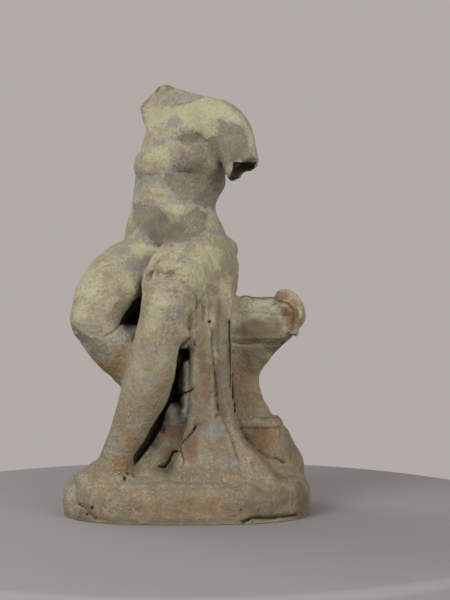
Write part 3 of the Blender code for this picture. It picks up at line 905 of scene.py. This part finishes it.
    def back_forms(self, points: Points, normals: Points) -> Points:
        """The plainer forms on the sides that the photograph doesn't show.

        The blades, waist and hips are balls of push exp(-distance^2), the spine and the cloth's folds are
        bells across a line, and drawn-out noise leaves the strokes of a modelling tool.

        Args:
            points: places in metres, one row each.
            normals: their outward directions.

        Returns:
            Each point's move in metres.
        """
        turned = smoothstep(-self.sight.facing(points, normals), -0.1, 0.3)
        move = np.zeros_like(points)
        for lump in LUMPS:
            away = (points - np.array(lump.middle) * MM) / (np.array(lump.size) * MM)
            weight = np.exp(-np.sum(away ** 2, axis=1)) * (1.0 if lump.all_round else turned)
            move += weight[:, None] * np.array(lump.push) * MM
        lift = -2.0 * np.exp(-(self.from_line(points, SPINE) / (3.8 * MM)) ** 2)
        for fold in BACK_FOLDS:
            gap = self.from_line(points, fold)
            lift += np.exp(-(gap / (2.4 * MM)) ** 2) - 0.7 * np.exp(-((gap - 4.2 * MM) / (1.8 * MM)) ** 2)
        lift += 0.22 * noise(points * np.array([1.0, 1.0, 0.35]), 6.0 * MM, 9, 2)
        return move + MM * (turned * lift)[:, None] * normals

    @staticmethod
    def crust(points: Points) -> Points:
        """The crust's soft lumps, fine crumbs and scattered pits, each from noise, and rougher lower down.

        Args:
            points: places in metres, one row each.

        Returns:
            How far each is lifted, in metres.
        """
        low = 1.0 - smoothstep(points[:, 2] / MM, 20.0, 90.0)
        patchy = 0.6 + 0.5 * smoothstep(noise(points, 16.0 * MM, 25, 2), -0.3, 0.4) + 0.35 * low
        lumps = 0.30 * noise(points, 8.0 * MM, 21, 2) + 0.26 * noise(points, 3.6 * MM, 22, 2)
        crumbs = 0.34 * np.maximum(noise(points, 2.0 * MM, 23, 2) - 0.08, 0.0)
        pits = -0.5 * smoothstep(noise(points, 2.6 * MM, 24, 1), 0.58, 0.9)
        return MM * patchy * (lumps + crumbs + pits)

    def sculpt(self) -> bpy.types.Mesh:
        """Makes the skin's mesh.

        The even net is eased, its slots are filled, its forms swelled and its lines drawn. The back's forms,
        the crust and the broken faces follow. Last it is thinned and held inside the solid's box.

        Returns:
            The mesh.
        """
        mesh = self.dense()
        edges = self.links(mesh)
        points = self.eased(self.corners(mesh), edges)
        self.put(mesh, points)
        points = self.swelled(self.filled(points, edges), self.directions(mesh))
        self.put(mesh, points)
        normals = self.directions(mesh)
        move, _ = self.drawn(points, normals)
        move += self.back_forms(points, normals) + self.crust(points)[:, None] * normals
        under = smoothstep(-normals[:, 2], 0.7, 0.95) * (points[:, 2] < 1.0 * MM)
        points = points + (1.0 - under)[:, None] * move
        points = self.broken(points)
        points = self.kept_inside(points, normals)
        self.put(mesh, points)
        holder = bpy.data.objects.new("clay net", mesh)
        bpy.context.scene.collection.objects.link(holder)
        thin = holder.modifiers.new("thinned", "DECIMATE")
        thin.ratio = min(1.0, self.triangles / (2.0 * len(mesh.polygons)))
        made = self.settled(holder)
        bpy.data.objects.remove(holder)
        low, high = (np.array(corner) for corner in PLAIN_BOX)
        self.put(made, np.clip(self.corners(made), low, high))
        return made

    @staticmethod
    def kept_inside(points: Points, normals: Points) -> Points:
        """Points held inside the solid's box, with the underside flat on the floor.

        Args:
            points: places in metres, one row each.
            normals: their outward directions.

        Returns:
            The moved points.
        """
        low, high = (np.array(corner) for corner in PLAIN_BOX)
        points = np.clip(points, low, high)
        sole = (points[:, 2] < low[2] + 0.9 * MM) & (normals[:, 2] < -0.6)
        points[:, 2] = np.where(sole, low[2], points[:, 2])
        return points

    @staticmethod
    def crowding(points: Points, normals: Points, reach: float) -> Points:
        """How much clay stands round the open side of each point, from 0 in the open to 1 in a deep gap.

        The points are counted in a grid, the counts are blurred, and the blurred count is read a reach out
        along the normal.

        Args:
            points: places in metres, one row each.
            normals: their outward directions.
            reach: how far out in metres.

        Returns:
            A number for each.
        """
        cell = 0.5 * reach
        low = points.min(axis=0) - 3.0 * reach
        size = np.ceil((points.max(axis=0) + 3.0 * reach - low) / cell).astype(int) + 1
        index = ((points - low) / cell).astype(int)
        flat = np.ravel_multi_index(index.T, size)
        count = np.bincount(flat, minlength=int(np.prod(size))).reshape(size).astype(float)
        for axis in range(3):
            count = (np.roll(count, 1, axis) + 2.0 * count + np.roll(count, -1, axis)) / 4.0
        out = ((points + normals * reach * 1.25 - low) / cell).astype(int)
        out = np.clip(out, 0, size - 1)
        crowd = count[out[:, 0], out[:, 1], out[:, 2]]
        return smoothstep(crowd / np.percentile(count[count > 0.5], 60), 0.12, 1.0)

    def laid(self, points: Points, normals: Points) -> dict[Tint, Points]:
        """The tints that the spots and large patches lay on the front.

        A spot is a ball on the surface point under its middle, stretched to its size. A large patch fills
        its outline, whose edge wanders with noise, and a stain's edge is slate-grey.

        Args:
            points: places in metres, one row each.
            normals: their outward directions.

        Returns:
            A mask from 0 to 1 for each tint that has spots.
        """
        across, down, _ = self.sight.place(points)
        view = self.seen(points, normals)
        shown = np.flatnonzero(view > 0.3)
        warp = np.stack([noise(points, 7.0 * MM, 60 + axis) for axis in range(3)], axis=1)
        turn = self.sight.facing(points, normals)
        open_side = smoothstep(turn + 0.25 * warp[:, 2], -0.2, 0.2) * np.maximum(view, turn < 0.25)
        found: dict[Tint, Points] = {}
        frayed = 0.35 * noise(points, 3.4 * MM, 66, 3)
        ragged = np.stack([noise(points, 2.6 * MM, 63 + axis, 2) for axis in range(2)], axis=1)
        wander = 4.5 * warp[:, :2] + 4.0 * ragged
        patchy = smoothstep(noise(points, 9.0 * MM, 67, 2), -0.5, 0.1)
        halo = np.zeros(len(points))
        for tint, spots in PATCHES.items():
            mask = np.zeros(len(points))
            for spot in spots:
                middle, share = self.under(spot, points, across, down, shown)
                wide, tall = spot.wide * share, spot.tall * share
                size = np.array([wide, 0.5 * (wide + tall) + 3.0 * MM, tall])
                away = (points + 2.2 * MM * warp - middle) / size
                reach = np.linalg.norm(away, axis=1)
                mask = np.maximum(mask, spot.strength * (1.0 - smoothstep(reach, 0.45, 1.35)))
            for outline in OUTLINED.get(tint, ()):
                deep = depth_inside(across + wander[:, 0], down + wander[:, 1], outline)
                mask = np.maximum(mask, smoothstep(deep, -self.patch_edge, self.patch_edge) * open_side)
                if tint is Tint.STAIN:
                    band = smoothstep(deep, -6.0, -2.0) * (1.0 - smoothstep(deep, 2.0, 7.0))
                    halo = np.maximum(halo, band * open_side * patchy)
            found[tint] = np.clip(mask + frayed * smoothstep(mask, 0.05, 0.4), 0.0, 1.0)
        found[Tint.SLATE] = np.maximum(found[Tint.SLATE], halo)
        return found

    def strewn(self, points: Points, normals: Points) -> dict[Tint, Points]:
        """The tints of the hidden sides, where noise alone lays the stains and the torn faces are red.

        Args:
            points: places in metres, one row each.
            normals: their outward directions.

        Returns:
            A mask from 0 to 1 for each of those tints.
        """
        hidden = smoothstep(-self.sight.facing(points, normals), -0.15, 0.35)
        found: dict[Tint, Points] = {}
        for number, (tint, size, low) in enumerate(((Tint.STAIN, 34, 0.12), (Tint.SLATE, 20, 0.28),
                                                    (Tint.RUST, 26, 0.15), (Tint.GOLD, 24, 0.05))):
            wild = smoothstep(noise(points, size * MM, 80 + number), low, low + 0.35)
            found[tint] = 0.9 * hidden * wild
        found[Tint.ROSE] = np.zeros(len(points))
        for face in FIGURE_BREAKS[:2]:
            under, along = face.depth(points)
            inside = (1.0 - smoothstep(along / MM, face.radius - 4.0, face.radius)) * (under < 1.6 * MM)
            found[Tint.ROSE] = np.maximum(found[Tint.ROSE], 0.55 * inside * (hidden > 0.2))
        return found

    def masks(self, mesh: bpy.types.Mesh) -> dict[Tint, Points]:
        """The colour masks at each point of the finished skin.

        Wear is where the surface bulges. Grime and painted shade lie where the surface is drawn or sunk, and
        painted shade also where it is crowded, near the floor and under its spots, less under the pale grey
        and painted light. Earth and painted shade also lie low on the figure, which grows darker towards the
        bottom.

        Args:
            mesh: the finished skin.

        Returns:
            A mask from 0 to 1 for each tint.
        """
        points = self.corners(mesh)
        normals = self.directions(mesh)
        edges = self.links(mesh)
        found = self.laid(points, normals)
        bulge = np.einsum("ij,ij->i", points - self.neighbours_mean(points, edges), normals) / MM
        for _ in range(2):
            bulge = self.neighbours_mean(bulge, edges)
        near = self.crowding(points, normals, 3.0 * MM)
        far = self.crowding(points, normals, 7.0 * MM)
        _, drawn = self.drawn(points, normals)
        # Concave places: their darkening is dirt and painted shade in creases.
        shade_and_grit = smoothstep(-bulge, 0.02, 0.10)
        dirt_and_shade = np.maximum(found[Tint.DIRT_AND_SHADE], drawn)
        found[Tint.DIRT_AND_SHADE] = np.clip(np.maximum(dirt_and_shade, 0.55 * shade_and_grit), 0.0, 1.0)
        found[Tint.WEAR] = smoothstep(bulge, 0.02, 0.12)
        # Painted shade: a painted shadow along the floor, darkening in crowded gaps and under its spots,
        # lifted again where the pale grey and painted light lie.
        floor_shadow = 0.8 * (1.0 - smoothstep(points[:, 2] / MM, 1.0, 7.0))
        painted_shade = np.maximum(np.maximum(found[Tint.PAINTED_SHADE], floor_shadow), 0.3 * near + 0.25 * far)
        found[Tint.PAINTED_SHADE] = np.clip(painted_shade * (1.0 - found[Tint.ASH_AND_PAINTED_LIGHT]), 0.0, 1.0)
        # Darker towards the bottom: brown earth and painted shade.
        low = 1.0 - smoothstep(points[:, 2] / MM + 10.0 * noise(points, 20.0 * MM, 71), 30.0, 105.0)
        found[Tint.EARTH_AND_SHADE] = np.maximum(found[Tint.EARTH_AND_SHADE], low)
        for tint, mask in self.strewn(points, normals).items():
            found[tint] = np.maximum(found[tint], mask)
        return found

    def made(self) -> bpy.types.Object:
        """Makes the skin, with its masks.

        Returns:
            The skin's object.
        """
        mesh = self.sculpt()
        mesh.name = "clay_skin"
        for tint, mask in self.masks(mesh).items():
            layer = mesh.attributes.new(tint.value, "FLOAT", "POINT")
            layer.data.foreach_set("value", mask.astype(np.float32))
        mesh.shade_smooth()
        skin = bpy.data.objects.new("clay_skin", mesh)
        bpy.context.scene.collection.objects.link(skin)
        return skin


class Sock:
    """A node's output in an expression: sums, differences and products become Math nodes."""

    def __init__(self, graph: "Graph", socket: bpy.types.NodeSocket) -> None:
        """Keeps the graph and the output."""
        self.graph = graph
        self.socket = socket

    def maths(self, operation: str, first: "Sock | float", second: "Sock | float") -> "Sock":
        """A Math node of two values."""
        return self.graph.node("ShaderNodeMath", {"operation": operation}, {0: first, 1: second})

    def __add__(self, other: "Sock | float") -> "Sock":
        """The sum."""
        return self.maths("ADD", self, other)

    def __radd__(self, other: float) -> "Sock":
        """The sum, from the right."""
        return self.maths("ADD", other, self)

    def __sub__(self, other: "Sock | float") -> "Sock":
        """The difference."""
        return self.maths("SUBTRACT", self, other)

    def __rsub__(self, other: float) -> "Sock":
        """The difference, from the right."""
        return self.maths("SUBTRACT", other, self)

    def __mul__(self, other: "Sock | float") -> "Sock":
        """The product."""
        return self.maths("MULTIPLY", self, other)

    def __rmul__(self, other: float) -> "Sock":
        """The product, from the right."""
        return self.maths("MULTIPLY", other, self)

    def step(self, low: float, high: float) -> "Sock":
        """A smooth step from 0 at low to 1 at high."""
        return self.graph.node("ShaderNodeMapRange", {"interpolation_type": "SMOOTHSTEP"},
                               {"Value": self, "From Min": low, "From Max": high})


class Graph:
    """A material's nodes, each made by one call."""

    def __init__(self, name: str) -> None:
        """Makes an empty material of that name."""
        self.material = bpy.data.materials.new(name)
        self.material.use_nodes = True
        self.tree = self.material.node_tree
        self.tree.nodes.clear()

    def node(self, kind: str, settings: dict | None = None, inputs: dict | None = None,
             output: int | str = 0) -> Sock:
        """Adds a node.

        Args:
            kind: the node's type.
            settings: its own settings, set first.
            inputs: a value or a Sock for each input, by its number, name or identifier.
            output: which output to give back.

        Returns:
            The output as a Sock.
        """
        made = self.tree.nodes.new(kind)
        for name, value in (settings or {}).items():
            setattr(made, name, value)
        for key, value in (inputs or {}).items():
            known = {socket.identifier: socket for socket in made.inputs}
            target = known[key] if key in known else made.inputs[key]
            if isinstance(value, Sock):
                self.tree.links.new(value.socket, target)
            else:
                target.default_value = value
        ends = {socket.identifier: socket for socket in made.outputs}
        return Sock(self, ends[output] if output in ends else made.outputs[output])

    def finish(self, shader: Sock) -> bpy.types.Material:
        """Ends the nodes.

        Args:
            shader: what the surface is.

        Returns:
            The material.
        """
        end = self.tree.nodes.new("ShaderNodeOutputMaterial")
        self.tree.links.new(shader.socket, end.inputs["Surface"])
        return self.material

    def mask(self, tint: Tint) -> Sock:
        """The mask of that tint, read from the piece."""
        return self.node("ShaderNodeAttribute", {"attribute_name": tint.value}, output="Fac")

    def grain(self, where: Sock, size: float, detail: float = 3.0, rough: float = 0.55) -> Sock:
        """Noise with lumps of that size in mm."""
        return self.node("ShaderNodeTexNoise", {"noise_dimensions": "3D"},
                         {"Vector": where, "Scale": 1.0 / (size * MM), "Detail": detail, "Roughness": rough})

    def cells(self, where: Sock, size: float) -> Sock:
        """Distance to the nearest of points scattered about that many mm apart."""
        return self.node("ShaderNodeTexVoronoi", {"feature": "F1"},
                         {"Vector": where, "Scale": 1.0 / (size * MM)})

    def mixed(self, share: Sock | float, first: "Sock | tuple", second: "Sock | tuple") -> Sock:
        """A blend of two colours.

        Args:
            share: how far from first to second, from 0 to 1.
            first: a colour, or a Sock of one.
            second: the same.

        Returns:
            The blend.
        """
        first, second = (c if isinstance(c, Sock) else (*c, 1.0) for c in (first, second))
        return self.node("ShaderNodeMix", {"data_type": "RGBA"},
                         {"Factor_Float": share, "A_Color": first, "B_Color": second}, "Result_Color")


@dataclass(frozen=True)
class FiredClay:
    """Unglazed fired clay under a grey-yellow crust, with stains, deposits, grime, fresh breaks, painted
    shade and painted light.
    """

    crust_light: tuple = (0.335, 0.312, 0.215)
    crust_dark: tuple = (0.240, 0.212, 0.145)
    gold: tuple = (0.355, 0.340, 0.218)
    # Brown for the lower figure: earth and painted shade, darker towards the bottom.
    earth_and_shade: tuple = (0.160, 0.134, 0.088)
    tan: tuple = (0.255, 0.185, 0.112)
    haze: tuple = (0.225, 0.222, 0.200)
    stain: tuple = (0.168, 0.145, 0.112)
    smoke: tuple = (0.088, 0.080, 0.066)
    slate: tuple = (0.205, 0.207, 0.190)
    rust: tuple = (0.205, 0.130, 0.068)
    rose: tuple = (0.180, 0.108, 0.078)
    # Pale grey: ash grey and painted light, lightening places that lie in shade.
    ash_and_painted_light: tuple = (0.330, 0.318, 0.285)
    # Near black for grooves, cracks, holes, pits and creases: dirt and painted shade.
    dirt_and_shade: tuple = (0.012, 0.010, 0.007)
    # The colour of the painted shade; it also darkens the pits and the dark crumbs.
    shade_and_grit: tuple = (0.085, 0.068, 0.045)
    worn: tuple = (0.47, 0.435, 0.30)
    chalk: tuple = (0.58, 0.56, 0.49)

    def made(self) -> bpy.types.Material:
        """Makes the material.

        Returns:
            The material: each deposit's mask is broken up by noise and laid over the last, the painted shade
            and the near-black grime and painted shade of grooves and holes over them, and a bump of grains,
            flecks and pits lies over all.
        """
        graph = Graph("fired_clay")
        where = graph.node("ShaderNodeTexCoord", output="Object")
        cloud = graph.grain(where, 16.0, 4.0, 0.6)
        mottle = graph.grain(where, 4.2, 5.0, 0.65)
        speck = graph.grain(where, 1.5, 3.0, 0.65)
        fine = graph.grain(where, 0.7, 2.0, 0.5)
        ragged = (mottle - 0.5) * 1.9 + (speck - 0.5) * 1.3
        colour = graph.mixed((cloud + ragged * 0.45).step(0.30, 0.66), self.crust_dark, self.crust_light)
        # Brown earth and painted shade, darker towards the bottom and under its spots.
        earth_and_shade = graph.mask(Tint.EARTH_AND_SHADE)
        colour = graph.mixed((earth_and_shade * 0.9 + ragged * 0.4).step(0.1, 1.1), colour, self.earth_and_shade)
        tan = self.islands(graph, where, 7.0, earth_and_shade * 0.06 + ragged * 0.22)
        colour = graph.mixed(tan * 0.6, colour, self.tan)
        colour = graph.mixed(self.islands(graph, where, 8.5, ragged * 0.22) * 0.55, colour, self.haze)
        layers = ((Tint.GOLD, self.gold, 0.20, 0.95, 0.8),
                  (Tint.RUST, self.rust, 0.20, 1.00, 0.8), (Tint.SLATE, self.slate, 0.15, 1.10, 0.85),
                  (Tint.STAIN, self.stain, 0.25, 0.75, 0.92), (Tint.ROSE, self.rose, 0.25, 0.80, 0.85),
                  # Ash grey and painted light, lightening the clay under its spots.
                  (Tint.ASH_AND_PAINTED_LIGHT, self.ash_and_painted_light, 0.10, 1.10, 0.7))
        shares = {}
        for tint, paint, low, high, most in layers:
            shares[tint] = (graph.mask(tint) + ragged * 0.42).step(low, high) * most
            colour = graph.mixed(shares[tint], colour, paint)
        smoke = shares[Tint.STAIN] * (cloud + (mottle - 0.5) * 0.7).step(0.48, 0.66)
        colour = graph.mixed(smoke * 0.35, colour, self.smoke)
        crumbs = speck + (fine - 0.5) * 0.8
        colour = graph.mixed(crumbs.step(0.50, 0.78) * 0.24, colour, self.worn)
        colour = graph.mixed(crumbs.step(0.50, 0.26) * 0.26, colour, self.shade_and_grit)
        colour = graph.mixed((graph.mask(Tint.WEAR) + ragged * 0.3).step(0.3, 1.0) * 0.4, colour, self.worn)
        scatter = graph.grain(where, 5.0, 1.0).step(0.53, 0.62) * 0.6 + graph.mask(Tint.CHALK) * 1.4
        chalk = (1.0 - graph.cells(where, 1.5).step(0.12, 0.30)) * scatter
        colour = graph.mixed(chalk * 0.55, colour, self.chalk)
        pitted = graph.grain(where, 6.0, 1.0).step(0.52, 0.66)
        pits = (1.0 - graph.cells(where, 2.6).step(0.06, 0.20)) * pitted
        dirt_and_shade = graph.mask(Tint.DIRT_AND_SHADE)
        # Painted shade: the clay darkens towards a shade colour in crowded gaps, along the floor and under
        # its spots.
        painted_shade = (graph.mask(Tint.PAINTED_SHADE) + ragged * 0.3).step(0.2, 1.15)
        colour = graph.mixed(painted_shade * 0.7, colour, self.shade_and_grit)
        # The pits darken with the same colour: painted shade and grit in them.
        colour = graph.mixed(pits * 0.22, colour, self.shade_and_grit)
        # Dirt and painted shade: grooves, cracks, holes, pits and creases go near black.
        colour = graph.mixed((dirt_and_shade + ragged * 0.3).step(0.25, 0.8) * 0.9, colour, self.dirt_and_shade)
        rough = 0.93 - shares[Tint.STAIN] * 0.14 + (mottle - 0.5) * 0.12
        height = speck * 0.8 + fine * 0.3 + mottle * 0.9 + chalk * 0.3 - pits * 0.5
        height = height * (1.0 - shares[Tint.STAIN] * 0.45)
        bump = graph.node("ShaderNodeBump", None, {"Strength": 1.0, "Distance": 0.75 * MM, "Height": height},
                          "Normal")
        shader = graph.node("ShaderNodeBsdfPrincipled", None,
                            {"Base Color": colour, "Roughness": rough, "Normal": bump, "IOR": 1.45,
                             "Specular IOR Level": 0.2}, "BSDF")
        return graph.finish(shader)

    @staticmethod
    def islands(graph: Graph, where: Sock, size: float, push: Sock) -> Sock:
        """Scattered patches of that size in mm, from 0 outside to 1 inside, their edges moved by push."""
        return (graph.grain(where, size, 3.0, 0.6) + push).step(0.52, 0.66)


@dataclass(frozen=True)
class Seating:
    """The whole figure: its clay skin in its finish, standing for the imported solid."""

    skin: Skin = field(default_factory=Skin)
    clay: FiredClay = field(default_factory=FiredClay)

    def build(self) -> list[bpy.types.Object]:
        """Makes and dresses the skin.

        Returns:
            The pieces made.
        """
        piece = self.skin.made()
        piece.data.materials.clear()
        piece.data.materials.append(self.clay.made())
        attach(piece, "root")
        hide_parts(self.skin.node)
        return [piece]


@dataclass(frozen=True)
class Studio:
    """A pale round floor, a pale surround, and soft lamps: two in front, left and right, and one behind."""

    floor_radius: float = 170.0 * MM
    floor_paint: tuple = (0.245, 0.235, 0.24)
    air_paint: tuple = (0.445, 0.407, 0.392)
    air_strength: float = 1.0

    def floor(self) -> bpy.types.Object:
        """The floor, a thin round slab with a rounded rim.

        Returns:
            The floor object: rings of points at radius r and height h carried round the middle.
        """
        turns = 128
        radius = self.floor_radius
        rim = 4.0 * MM
        bend = np.linspace(0.0, math.pi / 2, 9)
        flat = np.linspace(0.02, 0.9, 10) * (radius - rim)
        rings = np.concatenate([flat, radius - rim + rim * np.sin(bend)])
        drops = np.concatenate([np.zeros(len(flat)), rim * (np.cos(bend) - 1.0)])
        rings = np.append(rings, radius)
        drops = np.append(drops, -12.0 * MM)
        angle = np.linspace(0.0, 2.0 * math.pi, turns, endpoint=False)
        grid = np.stack([rings[:, None] * np.cos(angle), rings[:, None] * np.sin(angle),
                         np.broadcast_to(drops[:, None], (len(rings), turns))], axis=-1).reshape(-1, 3)
        row = np.arange(len(rings) - 1)[:, None] * turns
        near, far = np.arange(turns), (np.arange(turns) + 1) % turns
        faces = np.stack([row + near, row + turns + near, row + turns + far, row + far], axis=-1)
        middle = tuple(range(turns))
        mesh = bpy.data.meshes.new("floor")
        mesh.from_pydata(grid.tolist(), [], [*faces.reshape(-1, 4).tolist(), middle])
        mesh.shade_smooth()
        graph = Graph("pale_floor")
        where = graph.node("ShaderNodeTexCoord", output="Object")
        tone = graph.grain(where, 30.0, 4.0)
        low = tuple(0.93 * part for part in self.floor_paint)
        paint = graph.mixed(tone, low, self.floor_paint)
        shader = graph.node("ShaderNodeBsdfPrincipled", None,
                            {"Base Color": paint, "Roughness": 0.8}, "BSDF")
        mesh.materials.append(graph.finish(shader))
        floor = bpy.data.objects.new("floor", mesh)
        bpy.context.scene.collection.objects.link(floor)
        return floor

    def lamp(self, name: str, place: tuple, aim: tuple, size: float, watts: float, tint: tuple) -> None:
        """Adds a square soft lamp.

        Args:
            name: its name.
            place: where it is, in metres.
            aim: the point that it shines at.
            size: its side in metres.
            watts: its power.
            tint: its colour.
        """
        data = bpy.data.lights.new(name, "AREA")
        data.size = size
        data.energy = watts
        data.color = tint
        lamp = bpy.data.objects.new(name, data)
        lamp.location = place
        lamp.rotation_euler = (Vector(aim) - Vector(place)).to_track_quat("-Z", "Y").to_euler()
        bpy.context.scene.collection.objects.link(lamp)

    def light(self) -> None:
        """Sets the surround and hangs the lamps."""
        world = bpy.data.worlds.new("pale air")
        world.use_nodes = True
        backdrop = world.node_tree.nodes["Background"]
        backdrop.inputs["Color"].default_value = (*self.air_paint, 1.0)
        backdrop.inputs["Strength"].default_value = self.air_strength
        bpy.context.scene.world = world
        bpy.context.scene.view_settings.view_transform = "Standard"
        self.lamp("window", (-0.62, -0.74, 0.62), (0.0, 0.0, 0.11), 0.55, 9.0, (1.0, 0.99, 0.96))
        self.lamp("bounce", (0.62, -0.80, 0.34), (0.0, 0.0, 0.09), 0.6, 6.5, (1.0, 0.97, 0.93))
        self.lamp("far window", (-0.75, 0.62, 0.60), (0.0, 0.0, 0.11), 0.6, 4.0, (1.0, 0.99, 0.96))


def main() -> None:
    """Builds the figure, the studio and the camera in order, and reports each."""
    logging.basicConfig(level=logging.INFO, format="%(name)s: %(message)s")
    sight = Sight()
    sight.camera()
    log.info("camera at the photograph's viewing angle")
    for piece in Seating(Skin(sight=sight)).build():
        log.info("%s: %d points, %d faces", piece.name, len(piece.data.vertices), len(piece.data.polygons))
    studio = Studio()
    log.info("%s", studio.floor().name)
    studio.light()
    log.info("lamps and surround")


if __name__ == "__main__":
    main()
